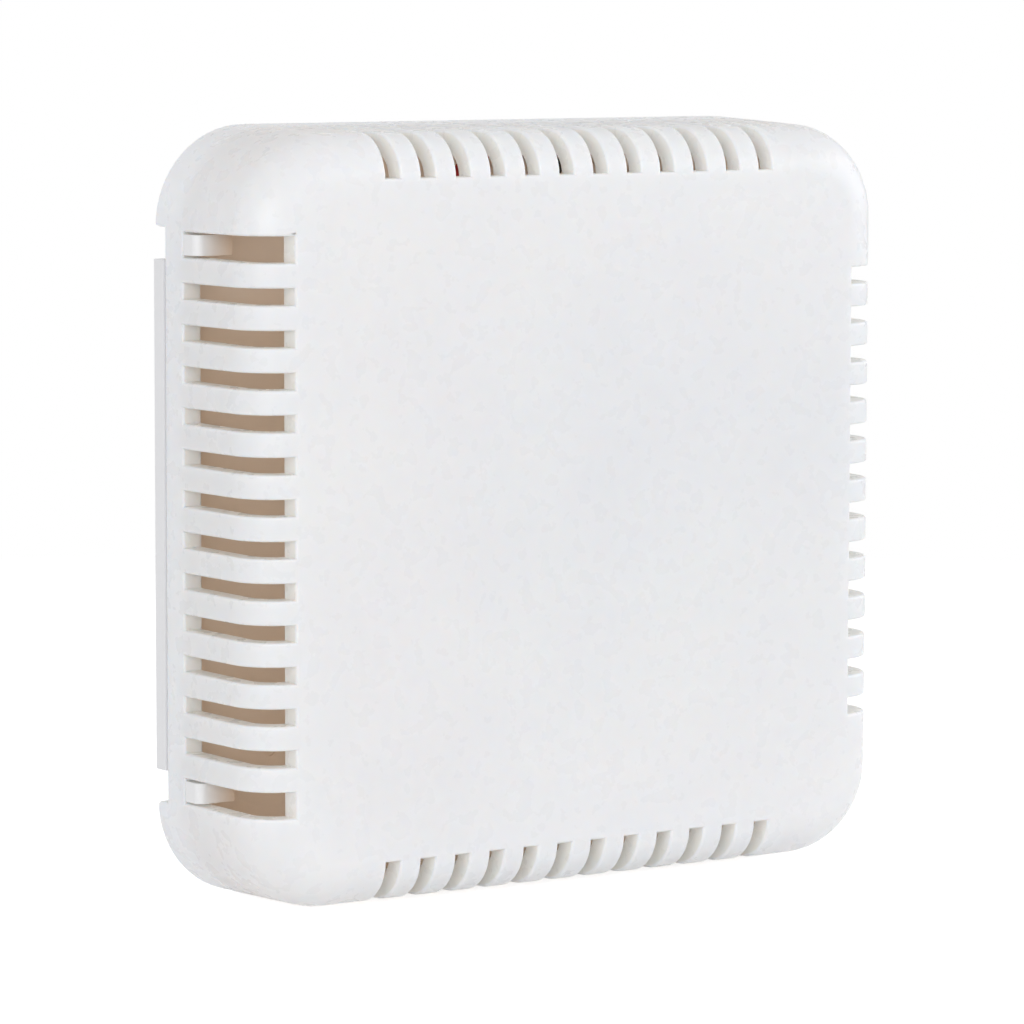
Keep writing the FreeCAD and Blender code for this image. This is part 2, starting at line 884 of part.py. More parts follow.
def microcontroller():
    size = controller_size
    body = on_board(controller_x, size, controller_height, controller_z, size)
    front = board_front_y - controller_height
    x = board_x + controller_x - size / 2 + mark_inset
    z = controller_z + size / 2 - mark_inset
    return body.cut(post(x, z, front + mark_depth, front - over, mark_radius))


def pin_row(x, z, width, length, count):
    """Feet along the upper and lower sides of a chip."""
    pitch = (width - 2 * pin_margin) / (count - 1)
    feet = []
    for index in range(count):
        foot_x = x + (index - (count - 1) / 2) * pitch
        for side in (-1, 1):
            foot_z = z + side * (length + pin_foot) / 2
            feet.append(on_board(foot_x, pin_width, chip_height, foot_z, pin_foot))
    return feet


def chip_pins():
    """The feet of the microcontroller and the memory chip."""
    feet = pin_row(controller_x, controller_z, controller_size, controller_size, controller_feet)
    feet += pin_row(memory_x, memory_z, memory_width, memory_length, memory_feet)
    return feet


def memory_chip():
    return on_board(memory_x, memory_width, memory_height, memory_z, memory_length)


def crystal():
    can = on_board(memory_x, crystal_width, crystal_height, crystal_z, crystal_length)
    return can.makeFillet(crystal_corner, upright_edges(can, crystal_height))


def voltage_regulator():
    x, z = small_place(*regulator_place)
    return on_board(x, regulator_width, regulator_height, z, regulator_length)


def capacitor_base():
    size = capacitor_base_size
    foot = on_board(capacitor_x, size, capacitor_base_height, capacitor_z, size)
    edges = upright_edges(foot, capacitor_base_height)
    right = [e for e in edges if e.Vertexes[0].X > board_x + capacitor_x]
    return foot.makeChamfer(capacitor_base_chamfer, right)


def capacitor_can():
    rear = board_front_y - capacitor_base_height
    can = post(board_x + capacitor_x, capacitor_z, rear, rear - capacitor_height, capacitor_radius)
    return can.makeFillet(capacitor_edge, rim_edges(can, rear - capacitor_height))


def small_place(from_left, share):
    """x and z of a small part between the lamp and the storage capacitor."""
    return from_left - board_width / 2, stretch_low + share * (stretch_high - stretch_low)


def small_chip(x, z):
    return on_board(x, chip_width, chip_height, z, chip_length)


def chip_resistors():
    return [small_chip(*small_place(*place)) for place in resistor_places]


def chip_capacitors():
    """Two capacitors by the power parts and one beside the sensing chip."""
    chips = [small_chip(*small_place(*place)) for place in capacitor_places]
    chips.append(small_chip(sensor_x, sensor_z - sensor_size / 2 - sensor_chip_gap - chip_length / 2))
    return chips


def temperature_sensor():
    """The sensing chip in the middle of the tongue, with its small air window."""
    body = on_board(sensor_x, sensor_size, sensor_height, sensor_z, sensor_size)
    front = board_front_y - sensor_height
    x = board_x + sensor_x
    return body.cut(post(x, sensor_z, front + sensor_height / 2, front - over, sensor_window))


def status_led():
    base = on_board(button_x, led_width, led_height / 2, led_z, led_length)
    lens = on_board(button_x, led_lens_width, led_height, led_z, led_length)
    return fuse(base, lens)


def button_housing():
    body = on_board(button_x, button_size, button_height, button_z, button_size)
    rear = button_front_y + button_cavity_depth
    x = board_x + button_x
    return body.cut(post(x, button_z, rear, button_front_y - over, button_cavity_radius))


def button_frame():
    """The thin metal plate that keeps the plunger in, folded down two sides."""
    metal = button_frame_metal
    x = board_x + button_x
    plate = block(x, button_size + 2 * metal, button_front_y, metal, button_z, button_size)
    flap_x = (button_size + metal) / 2
    flap_y = button_front_y + button_cavity_depth
    flap_height = button_cavity_depth + metal
    flaps = [
        block(x + side * flap_x, metal, flap_y, flap_height, button_z, button_size / 2)
        for side in (-1, 1)
    ]
    hole = post(x, button_z, flap_y, button_front_y - over, button_stem_radius + button_fit)
    return fuse(plate, *flaps).cut(hole)


def button_plunger():
    x = board_x + button_x
    seat_y = button_front_y + button_fit
    tip_y = button_front_y - button_frame_metal - button_stem_rise
    flange = post(x, button_z, seat_y + button_flange, seat_y, button_flange_radius)
    stem = post(x, button_z, seat_y + button_flange / 2, tip_y, button_stem_radius)
    return fuse(flange, stem)


# Places that the pieces inside share
board_x = half_inner - board_wall_gap - board_width / 2
board_top = board_height / 2
bay_width = cell_diameter + 2 * cell_clearance
holder_half_width = bay_width + divider_thickness / 2 + holder_wall
holder_x = board_x - board_width / 2 - board_holder_gap - holder_half_width
bay_length = 2 * contact_thickness + plus_dimple_height + cell_button_height + cell_length + spring_room
bay_half = bay_length / 2
bay_floor_y = holder_rear_y - holder_floor
cell_y = bay_floor_y - cell_clearance - cell_diameter / 2
tab_rear_y = lead_back_y + contact_thickness / 2
tab_end_z = holder_z + bay_half + holder_end_wall + tab_length
red_start_x = bay_places()[0] + red_tab_shift
black_start_x = bay_places()[1] + black_tab_shift
header_offset = board_corner_inset + screw_head_radius + connector_screw_gap + header_width / 2
header_x = board_x - board_width / 2 + header_offset
header_z = board_top - connector_inset - header_length
plug_y = board_front_y - header_height / 2
plug_end_z = header_z + header_back + plug_clearance + plug_length
pin_leg_z = header_z - pin_radius - pin_clearance
radio_front_y = board_front_y - radio_thickness
sensor_x = (board_width - tongue_width) / 2
sensor_z = (board_height - tongue_height) / 2 + sensor_shift
slot_z = board_top - tongue_height - tongue_slot
radio_x = board_width / 2 - radio_side_gap - radio_width / 2
radio_z = radio_end_gap + radio_length / 2 - board_top
radio_top_z = radio_z + radio_length / 2
memory_x = board_width / 2 - memory_side_gap - memory_width / 2
memory_z = slot_z - memory_slot_gap - pin_foot - memory_length / 2
crystal_z = (radio_top_z + memory_z - memory_length / 2 - pin_foot) / 2
controller_x = memory_x - memory_width / 2 - controller_gap - controller_size / 2
controller_z = (radio_top_z + pin_leg_z - pin_radius - pin_clearance) / 2
button_x = button_side_gap + button_frame_metal + button_size / 2 - board_width / 2
button_z = button_end_gap + button_size / 2 - board_top
button_front_y = board_front_y - button_height
led_z = button_z + button_size / 2 + led_gap + led_length / 2
capacitor_x = capacitor_side_gap + capacitor_base_size / 2 - board_width / 2
capacitor_z = board_top - capacitor_end_gap - capacitor_base_size / 2
stretch_low = led_z + led_length / 2
stretch_high = capacitor_z - capacitor_base_size / 2
left_comb_x = red_start_x + lead_bend_radius + comb_bend_gap + comb_length / 2
right_comb_x = (black_start_x + header_x - connector_pitch / 2) / 2

makers = [
    front_cover,
    base_plate,
    battery_holder,
    plus_contact,
    minus_contact,
    bridge_contact,
    holder_screws,
    red_lead,
    black_lead,
    lead_plug,
    lead_header,
    header_pins,
    circuit_board,
    board_screws,
    radio_module,
    radio_shield,
    radio_antenna,
    microcontroller,
    chip_pins,
    memory_chip,
    crystal,
    voltage_regulator,
    capacitor_base,
    capacitor_can,
    chip_resistors,
    chip_capacitors,
    temperature_sensor,
    status_led,
    button_housing,
    button_frame,
    button_plunger,
]
pieces = {make.__name__: make() for make in makers}
pieces["upper_latch"] = latch(1)
pieces["lower_latch"] = latch(-1)
pieces["left_cell"] = cell(0)
pieces["right_cell"] = cell(1)
pieces["cell_sleeves"] = [sleeve(0), sleeve(1)]

os.makedirs("parts", exist_ok=True)
for name, shape in pieces.items():
    if isinstance(shape, list):
        shape = Part.Compound(shape)
    shape.exportStep("parts/" + name + ".step")
    print(name, "solids", len(shape.Solids), "valid", shape.isValid(), "volume", round(shape.Volume, 2))
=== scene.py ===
import math

import bmesh
import bpy
from mathutils import Matrix, Vector


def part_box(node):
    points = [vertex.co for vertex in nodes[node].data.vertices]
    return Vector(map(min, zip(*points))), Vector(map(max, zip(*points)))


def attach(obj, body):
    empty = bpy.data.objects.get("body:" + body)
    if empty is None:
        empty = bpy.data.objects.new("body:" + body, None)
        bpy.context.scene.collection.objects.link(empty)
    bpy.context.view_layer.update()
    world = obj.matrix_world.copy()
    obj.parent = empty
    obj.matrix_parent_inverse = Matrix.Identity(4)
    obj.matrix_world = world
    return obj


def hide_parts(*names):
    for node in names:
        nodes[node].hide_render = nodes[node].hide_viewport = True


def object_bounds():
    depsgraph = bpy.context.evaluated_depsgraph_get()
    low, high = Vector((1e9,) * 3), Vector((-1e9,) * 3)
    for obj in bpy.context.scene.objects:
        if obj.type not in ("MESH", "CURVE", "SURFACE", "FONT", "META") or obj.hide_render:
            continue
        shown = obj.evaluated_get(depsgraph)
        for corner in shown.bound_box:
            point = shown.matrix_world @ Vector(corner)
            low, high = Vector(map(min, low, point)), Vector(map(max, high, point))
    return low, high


# Room temperature sensor for a wall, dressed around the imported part. Units are metres.
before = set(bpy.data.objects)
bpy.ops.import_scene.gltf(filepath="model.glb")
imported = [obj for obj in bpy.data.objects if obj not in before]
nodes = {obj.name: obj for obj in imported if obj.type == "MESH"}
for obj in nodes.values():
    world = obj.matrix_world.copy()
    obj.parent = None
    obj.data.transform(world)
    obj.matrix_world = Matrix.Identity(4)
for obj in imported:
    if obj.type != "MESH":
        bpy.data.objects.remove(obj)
cad_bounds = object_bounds()

# Camera: where it looks, from which side, and how long its lens is
view_target = Vector((-0.004672, -0.013176, -0.000531))
view_azimuth = math.radians(-33.657)
view_elevation = math.radians(6.052)
view_roll = math.radians(0.126)
view_distance = 0.53996
sensor_width = 36.0
lens_share = 5164.07 / 1024
clip_start = 0.01

# Lamps: name, azimuth, elevation, distance, width, height, power and colour
lamp_centre = Vector((0.0, -0.01, 0.0))
neutral = (1.0, 1.0, 1.0)
cool = (0.93, 0.96, 1.0)
lamps = [
    ("left_box", -50, 10, 1.3, 0.9, 0.9, 8.2, neutral),
    ("front_box", -15, 15, 1.3, 0.9, 0.9, 1.9, cool),
    ("right_box", 55, 10, 1.3, 0.9, 0.9, 5.5, cool),
    ("far_right_box", 85, 12, 1.3, 0.9, 0.9, 4.4, cool),
]
world_strength = 0.635
light_bounces = 8

# Cover shell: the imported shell's own sizes, so that its edges can be rounded
cover_low, cover_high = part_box("front_cover")
cover_half = 0.0400
cover_depth = -cover_low.y
cover_rim_y = cover_high.y
cover_lean = 0.00068
cover_slope = cover_lean / cover_depth
cover_corner = 0.0297
cover_side_wall = 0.0022
cover_front_wall = 0.00245
cover_front_round = 0.0050
vent_count = 12
vent_pitch = 0.00424
vent_width = 0.00176
vent_draft = 0.00008
vent_rear_y = -0.0054
vent_end = 0.0349
window_height = 0.00273
rim_cut_y = -0.00203
catch_z = 0.025
catch_length = 0.008
catch_reach = 0.0009
catch_y = (-0.0023, -0.0031)
corner_steps = 16
round_steps = 14
vent_round = 0.00028
vent_segments = 4
edge_round = 0.00015
edge_segments = 3
sharp_angle = math.radians(30)
crease_angle = math.radians(40)

# Light that passes through the thin walls of the cover, as a share and a colour. The share
# falls from wall_glow to rim_glow between the two places of rim_glow_y.
wall_glow = 0.30
rim_glow = 0.18
rim_glow_y = (-0.0062, -0.0040)
outer_tint = (0.98, 0.97, 0.96, 1.0)
inner_tint = (0.98, 0.84, 0.70, 1.0)
cut_tint = (0.97, 0.985, 0.95, 1.0)
wall_roughness = 0.28
wall_grain = 500.0
wall_grain_depth = 0.0000005

# Mould texture of the plastics: roughness, noise scale and depth, and how far the gloss varies
mould_roughness = 0.42
mould_grain = 2600.0
mould_depth = 0.000012
gloss_low = 0.88
gloss_high = 1.17
drawn_depth = 0.000004

# Where a finish changes along an axis
# The next four place painted shade: where the warm cream inside the base begins, where it turns paler, and
# where the latch darkens towards the inside.
inside_x = -0.0372
inside_y = -0.0019
pale_floor_z = (0.018, 0.031)
latch_shade_x = (-0.0388, -0.0356)
cell_band_z = 0.0125
minus_mark_x = 0.0163
minus_mark_y = -0.0126

# Small details on the base and the board
boss_x = -0.0277
boss_z = 0.0250
boss_top_y = -0.0023
boss_radius = 0.0036
boss_skirt_radius = 0.0064
skirt_inner_share = 0.5
floor_y = -0.0020
skirt_steps = 8
round_sides = 48
chip_end_length = 0.00030
film = 0.00001
print_gap = 0.00025
print_width = 0.00015
board_top_y = -0.0066
mark_radius = 0.00032
mark_inset = 2.4 * mark_radius
weld_distance = 0.000001
sensor_port_radius = 0.00060

# Stage: a floor whose shade fades to plain white between floor_near and floor_far
floor_gap = 0.0001
floor_size = 6.0
floor_near = 0.06
floor_far = 0.30
floor_lift = 0.70


def srgb(r, g, b):
    """A screen colour from 0 to 255 as linear light."""
    def linear(value):
        value = value / 255
        return value / 12.92 if value <= 0.04045 else ((value + 0.055) / 1.055) ** 2.4
    return (linear(r), linear(g), linear(b), 1.0)


class Finish:
    """A material whose nodes are added by short calls."""

    def __init__(self, name):
        self.material = bpy.data.materials.new(name)
        self.material.use_nodes = True
        self.tree = self.material.node_tree
        self.shader = self.tree.nodes["Principled BSDF"]
        self.place = self.add("ShaderNodeTexCoord").outputs["Object"]

    def add(self, kind, **values):
        node = self.tree.nodes.new(kind)
        for key, value in values.items():
            setattr(node, key, value)
        return node

    def link(self, start, end):
        self.tree.links.new(start, end)

    def set(self, **values):
        for key, value in values.items():
            self.shader.inputs[key.replace("_", " ")].default_value = value

    def scaled(self, x, y, z):
        mapping = self.add("ShaderNodeMapping")
        mapping.inputs["Scale"].default_value = (x, y, z)
        self.link(self.place, mapping.inputs["Vector"])
        return mapping.outputs["Vector"]

    def noise(self, scale, detail=2.0, stretch=(1, 1, 1)):
        node = self.add("ShaderNodeTexNoise")
        node.inputs["Scale"].default_value = scale
        node.inputs["Detail"].default_value = detail
        self.link(self.scaled(*stretch), node.inputs["Vector"])
        return node.outputs["Fac"]

    def ramp(self, value, low, high, start=0.0, end=1.0):
        """value from start to end as a colour or grey from low to high."""
        node = self.add("ShaderNodeMapRange", clamp=True)
        node.inputs["From Min"].default_value = start
        node.inputs["From Max"].default_value = end
        self.link(value, node.inputs["Value"])
        if isinstance(low, (int, float)):
            node.inputs["To Min"].default_value = low
            node.inputs["To Max"].default_value = high
            return node.outputs["Result"]
        return self.mix(node.outputs["Result"], low, high)

    def mix(self, value, low, high):
        node = self.add("ShaderNodeMix", data_type="RGBA")
        self.link(value, node.inputs["Factor"])
        for socket, colour in ((node.inputs["A"], low), (node.inputs["B"], high)):
            if hasattr(colour, "is_output"):
                self.link(colour, socket)
            else:
                socket.default_value = colour
        return node.outputs["Result"]

    def math(self, operation, first, second=0.0):
        node = self.add("ShaderNodeMath", operation=operation)
        for socket, value in zip(node.inputs, (first, second)):
            if hasattr(value, "is_output"):
                self.link(value, socket)
            else:
                socket.default_value = value
        return node.outputs["Value"]

    def axis(self, letter):
        split = self.add("ShaderNodeSeparateXYZ")
        self.link(self.place, split.inputs["Vector"])
        return split.outputs[letter]

    def colour(self, value):
        self.link(value, self.shader.inputs["Base Color"])

    def rough(self, value):
        self.link(value, self.shader.inputs["Roughness"])

    def bump(self, value, depth, strength=1.0):
        node = self.add("ShaderNodeBump")
        node.inputs["Distance"].default_value = depth
        node.inputs["Strength"].default_value = strength
        self.link(value, node.inputs["Height"])
        self.link(node.outputs["Normal"], self.shader.inputs["Normal"])


def mould_texture(finish, roughness=mould_roughness, grain=mould_grain, depth=mould_depth):
    """The fine texture and uneven gloss of moulded plastic."""
    fine = finish.noise(grain, 3.0)
    finish.rough(finish.ramp(fine, roughness * gloss_low, roughness * gloss_high, 0.3, 0.7))
    finish.bump(fine, depth)
    finish.set(IOR=1.49)


def moulded(name, light, dark, roughness=mould_roughness, grain=mould_grain, depth=mould_depth):
    """Moulded plastic with faint flow clouds in its colour."""
    finish = Finish(name)
    clouds = finish.noise(45.0, 3.0)
    finish.colour(finish.ramp(clouds, light, dark, 0.35, 0.7))
    mould_texture(finish, roughness, grain, depth)
    return finish


def thin_wall(name, light, dark, tint):
    """White moulded plastic, thin enough to let some light through into the housing."""
    finish = moulded(name, light, dark, wall_roughness, wall_grain, wall_grain_depth)
    finish.set(Subsurface_Weight=1.0, Subsurface_Radius=(1.0, 0.85, 0.75), Subsurface_Scale=0.0006)
    glow = finish.add("ShaderNodeBsdfTranslucent")
    glow.inputs["Color"].default_value = tint
    blend = finish.add("ShaderNodeMixShader")
    finish.link(finish.ramp(finish.axis("Y"), wall_glow, rim_glow, *rim_glow_y), blend.inputs["Fac"])
    finish.link(finish.shader.outputs["BSDF"], blend.inputs[1])
    finish.link(glow.outputs["BSDF"], blend.inputs[2])
    finish.link(blend.outputs["Shader"], finish.tree.nodes["Material Output"].inputs["Surface"])
    return finish.material


def base_plastic():
    """White outside, and inside the housing a painted warm cream shade that is paler towards the top."""
    finish = Finish("base_white")
    mould_texture(finish)
    past_wall = finish.math("GREATER_THAN", finish.axis("X"), inside_x)
    past_floor = finish.math("LESS_THAN", finish.axis("Y"), inside_y)
    inside = finish.math("MULTIPLY", past_wall, past_floor)
    # Painted shade: inside the housing the white base is coloured a warm cream, paler towards the top, for
    # the shade and warm bounced light between the walls.
    clouds = finish.noise(70.0, 4.0)
    cream_painted_shade = finish.ramp(clouds, srgb(239, 225, 210), srgb(234, 219, 203), 0.3, 0.7)
    height = finish.ramp(finish.axis("Z"), 0.0, 1.0, *pale_floor_z)
    cream_painted_shade = finish.mix(height, cream_painted_shade, srgb(246, 236, 226))
    white = srgb(222, 222, 224)
    finish.colour(finish.mix(inside, white, cream_painted_shade))
    return finish.material


def latch_plastic():
    """White at the nose, with painted shade that turns it a warm tan towards the inside of the housing."""
    finish = Finish("latch_white")
    mould_texture(finish)
    # Painted shade: the colour darkens to tan along x where the latch reaches into the shade of the
    # housing.
    finish.colour(finish.ramp(finish.axis("X"), srgb(224, 224, 225), srgb(214, 196, 178), *latch_shade_x))
    return finish.material


def holder_plastic():
    return moulded("holder_grey", srgb(196, 190, 180), srgb(188, 181, 170), 0.5, 1800.0).material


def connector_plastic():
    return moulded("connector_nylon", srgb(226, 221, 205), srgb(219, 213, 195), 0.38, 3000.0).material


def button_plastic():
    return moulded("button_black", srgb(38, 38, 40), srgb(30, 30, 32), 0.5, 3000.0).material


def drawn_metal(name, roughness, stretch):
    """Plated metal with fine drawn lines along one axis, before it has a colour."""
    finish = Finish(name)
    finish.set(Metallic=1.0)
    lines = finish.noise(900.0, 3.0, stretch)
    finish.rough(finish.ramp(lines, roughness - 0.08, roughness + 0.12, 0.3, 0.7))
    finish.bump(lines, drawn_depth)
    return finish


def dull_patches(finish, light, dark):
    """The colour of plated metal, light with darker patches."""
    return finish.ramp(finish.noise(160.0, 3.0), light, dark, 0.3, 0.75)


def metal(name, light, dark, roughness, stretch):
    """Drawn metal with dull patches."""
    finish = drawn_metal(name, roughness, stretch)
    finish.colour(dull_patches(finish, light, dark))
    return finish.material


def spring_metal():
    return metal("nickel_strip", srgb(214, 208, 198), srgb(190, 182, 170), 0.28, (1, 1, 0.08))


def screw_metal():
    return metal("zinc_screw", srgb(206, 208, 212), srgb(170, 172, 178), 0.32, (1, 0.2, 1))


def cell_can():
    return metal("cell_steel", srgb(222, 220, 216), srgb(198, 196, 190), 0.22, (1, 1, 0.1))


def pin_metal():
    return metal("tinned_pin", srgb(220, 219, 214), srgb(188, 186, 180), 0.3, (1, 0.1, 1))


def shield_metal():
    return metal("shield_tin", srgb(214, 213, 208), srgb(192, 190, 184), 0.36, (1, 1, 0.05))


def crystal_can():
    return metal("crystal_lid", srgb(205, 200, 190), srgb(180, 172, 158), 0.26, (0.05, 1, 1))


def aerial_copper():
    return metal("aerial_gold", srgb(226, 184, 98), srgb(200, 152, 72), 0.3, (1, 1, 1))


def insulation(name, light, dark):
    """A dull, slightly uneven skin, for the wires' insulation and for print."""
    finish = Finish(name)
    clouds = finish.noise(500.0, 3.0)
    finish.colour(finish.ramp(clouds, light, dark, 0.3, 0.7))
    finish.rough(finish.ramp(clouds, 0.34, 0.5))
    finish.bump(finish.noise(2500.0), 0.00001)
    return finish.material


def red_insulation():
    return insulation("red_wire", srgb(176, 22, 30), srgb(150, 14, 22))


def black_insulation():
    return insulation("black_wire", srgb(24, 24, 26), srgb(16, 16, 18))


def cell_jacket():
    """A printed film: a blue-grey body with a pale band at each end."""
    finish = Finish("cell_film")
    height = finish.axis("Z")
    band = finish.math("GREATER_THAN", finish.math("ABSOLUTE", height), cell_band_z)
    body = finish.ramp(finish.noise(300.0, 2.0), srgb(66, 84, 104), srgb(58, 75, 95), 0.3, 0.7)
    finish.colour(finish.mix(band, body, srgb(196, 198, 200)))
    finish.rough(finish.ramp(finish.noise(700.0), 0.22, 0.34))
    finish.set(Coat_Weight=0.4, Coat_Roughness=0.12)
    return finish.material


def board_laminate():
    """Green solder mask over a glass weave, with copper areas showing through."""
    finish = Finish("board_green")
    weave_x = finish.add("ShaderNodeTexWave", wave_type="BANDS", bands_direction="X")
    weave_z = finish.add("ShaderNodeTexWave", wave_type="BANDS", bands_direction="Z")
    for wave in (weave_x, weave_z):
        wave.inputs["Scale"].default_value = 420.0
        finish.link(finish.place, wave.inputs["Vector"])
    weave = finish.math("MULTIPLY", weave_x.outputs["Fac"], weave_z.outputs["Fac"])
    areas = finish.add("ShaderNodeTexVoronoi", distance="MANHATTAN", feature="DISTANCE_TO_EDGE")
    areas.inputs["Scale"].default_value = 260.0
    finish.link(finish.place, areas.inputs["Vector"])
    tracks = finish.ramp(areas.outputs["Distance"], 0.0, 1.0, 0.06, 0.09)
    mask = finish.ramp(weave, srgb(18, 84, 52), srgb(22, 94, 58))
    finish.colour(finish.mix(tracks, srgb(10, 62, 38), mask))
    finish.rough(finish.ramp(weave, 0.28, 0.4))
    finish.bump(tracks, 0.00003, 0.6)
    finish.set(Coat_Weight=0.3, Coat_Roughness=0.15)
    return finish.material


def chip_plastic():
    finish = Finish("chip_epoxy")
    fine = finish.noise(5000.0, 3.0)
    finish.colour(finish.ramp(fine, srgb(40, 40, 42), srgb(28, 28, 30), 0.3, 0.7))
    finish.rough(finish.ramp(fine, 0.5, 0.66))
    finish.bump(fine, 0.00001)
    return finish.material


def ceramic_chip():
    finish = Finish("chip_ceramic")
    clouds = finish.noise(900.0, 2.0)
    finish.colour(finish.ramp(clouds, srgb(178, 148, 112), srgb(158, 126, 92), 0.3, 0.7))
    finish.rough(finish.ramp(clouds, 0.35, 0.5))
    return finish.material


def capacitor_metal():
    """Bright drawn can with the dark minus segment printed on its top."""
    finish = drawn_metal("capacitor_drawn", 0.26, (1, 0.05, 1))
    bright = dull_patches(finish, srgb(212, 212, 214), srgb(192, 192, 196))
    beside = finish.math("LESS_THAN", finish.axis("X"), minus_mark_x)
    above = finish.math("LESS_THAN", finish.axis("Y"), minus_mark_y)
    finish.colour(finish.mix(finish.math("MULTIPLY", beside, above), bright, srgb(44, 44, 48)))
    return finish.material


def led_lens():
    finish = Finish("led_clear")
    cloud = finish.noise(1500.0)
    finish.colour(finish.ramp(cloud, srgb(232, 226, 196), srgb(216, 206, 160), 0.3, 0.7))
    finish.rough(finish.ramp(cloud, 0.12, 0.22))
    finish.set(Coat_Weight=0.5)
    return finish.material


finishes = {
    "cover_plastic": thin_wall("cover_white", srgb(239, 242, 247), srgb(236, 239, 244), outer_tint),
    "base_plastic": base_plastic(),
    "holder_plastic": holder_plastic(),
    "spring_metal": spring_metal(),
    "screw_metal": screw_metal(),
    "cell_can": cell_can(),
    "cell_jacket": cell_jacket(),
    "red_insulation": red_insulation(),
    "black_insulation": black_insulation(),
    "connector_plastic": connector_plastic(),
    "pin_metal": pin_metal(),
    "board_laminate": board_laminate(),
    "shield_metal": shield_metal(),
    "aerial_copper": aerial_copper(),
    "chip_plastic": chip_plastic(),
    "crystal_can": crystal_can(),
    "capacitor_can": capacitor_metal(),
    "ceramic_chip": ceramic_chip(),
    "led_lens": led_lens(),
    "button_plastic": button_plastic(),
}
latch_finish = latch_plastic()
print_finish = insulation("board_print", srgb(226, 228, 224), srgb(214, 216, 212))
mark_finish = insulation("chip_mark", srgb(96, 96, 98), srgb(82, 82, 84))
# Painted shade: the cover's inner skin is the same white plastic, coloured a warm cream for the shade
# inside the housing.
inside_shade_finish = thin_wall("cover_inside", srgb(242, 232, 220), srgb(238, 227, 214), inner_tint)
cut_finish = thin_wall("cover_cut", srgb(241, 241, 240), srgb(238, 238, 236), cut_tint)


def dress_nodes():
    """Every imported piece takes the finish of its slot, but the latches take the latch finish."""
    for name, node in nodes.items():
        slot_name = node.data.materials[0].name.split(".")[0]
        finish = latch_finish if name.endswith("_latch") else finishes[slot_name]
        node.data.materials.clear()
        node.data.materials.append(finish)


def skin_profile(half, front_y, radius):
    """(distance from the centre, y) down one skin of the shell, from its rim to the flat front."""
    slant = math.hypot(1, cover_slope)
    centre_y = front_y + radius
    centre_s = half + cover_slope * centre_y - radius * slant
    points = [(half + cover_slope * y, y) for y in (cover_rim_y, rim_cut_y, vent_rear_y)]
    first = math.atan(cover_slope)
    last = math.acos((vent_end - centre_s) / radius)
    for step in range(round_steps + 1):
        angle = first + (last - first) * step / round_steps
        points.append((centre_s + radius * math.cos(angle), centre_y - radius * math.sin(angle)))
    points.append((centre_s, front_y))
    return points


def side_lines(side):
    """Where one side's grid is cut along its length, which way each line leans towards the rear,
    and whether each strip between two lines is open."""
    gaps = []
    for index in range(vent_count):
        centre = (index - (vent_count - 1) / 2) * vent_pitch
        gaps.append((centre - vent_width / 2, centre + vent_width / 2))
    if side == 2:
        inner = (vent_count + 1) / 2 * vent_pitch - vent_width / 2
        gaps = [(-inner - window_height, -inner), *gaps, (inner, inner + window_height)]
    lines, is_open = [(-cover_corner, 0)], []
    for low, high in gaps:
        lines += [(low, 1), (high, -1)]
        is_open += [False, True]
    return [*lines, (cover_corner, 0)], [*is_open, False]


def shell_grid():
    """Points round the shell, each a way to place it at a distance, and the strips between them."""
    spots, strips = [], []
    for side in range(4):
        turn = side * math.pi / 2
        normal = (math.cos(turn), math.sin(turn))
        along = (-math.sin(turn), math.cos(turn))
        lines, is_open = side_lines(side)
        for line, lean in lines:
            spots.append((Vector(along) * line, Vector(normal), 0.0, Vector(along) * lean))
        strips += [(side, cut) for cut in is_open]
        centre = cover_corner * (Vector(normal) + Vector(along))
        for step in range(1, corner_steps):
            angle = turn + math.pi / 2 * step / corner_steps
            spots.append((centre, Vector((math.cos(angle), math.sin(angle))), cover_corner, Vector((0, 0))))
        strips += [("corner", False)] * corner_steps
    return spots, strips


def place_spot(form, spot, distance, y):
    """One point of a skin; the edges of the vents lean in from the face to their rear ends."""
    start, normal, back, lean = spot
    share = min(max((y + cover_depth) / (vent_rear_y + cover_depth), 0.0), 1.0)
    x, z = start + normal * (distance - back) + lean * vent_draft * share
    return form.verts.new((x, y, z))


def shell_form():
    """The shell as one closed mesh: two skins, joined round every vent, window and rim."""
    form = bmesh.new()
    spots, strips = shell_grid()
    skins = []
    for wall, front in ((0.0, 0.0), (cover_side_wall, cover_front_wall)):
        profile = skin_profile(cover_half - wall, front - cover_depth, cover_front_round - front)
        skins.append([[place_spot(form, spot, s, y) for spot in spots] for s, y in profile])
    rows, around = len(skins[0]) - 1, len(spots)
    vent_rows = range(2, 3 + round_steps)

    def is_open(row, strip):
        side, cut = strips[strip % around]
        return (cut and row in vent_rows) or (side == 2 and row == 0) or row < 0

    for row in range(rows):
        for strip in range(around):
            after = (strip + 1) % around
            if not is_open(row, strip):
                for index, skin in enumerate(skins):
                    near, far = skin[row], skin[row + 1]
                    corners = (near[strip], near[after], far[after], far[strip])
                    form.faces.new(corners).material_index = index
            if is_open(row, strip) != is_open(row, strip - 1):
                ends = [(skin[row][strip], skin[row + 1][strip]) for skin in skins]
                form.faces.new((*ends[0], *reversed(ends[1]))).material_index = 2
            if is_open(row, strip) != is_open(row - 1, strip):
                ends = [(skin[row][strip], skin[row][after]) for skin in skins]
                form.faces.new((*ends[0], *reversed(ends[1]))).material_index = 2 if row > 0 else 0
    for index, skin in enumerate(skins):
        form.faces.new(skin[-1]).material_index = index
    loose = [v for v in form.verts if not v.link_faces]
    bmesh.ops.delete(form, geom=loose, context="VERTS")
    bmesh.ops.recalc_face_normals(form, faces=form.faces)
    return form


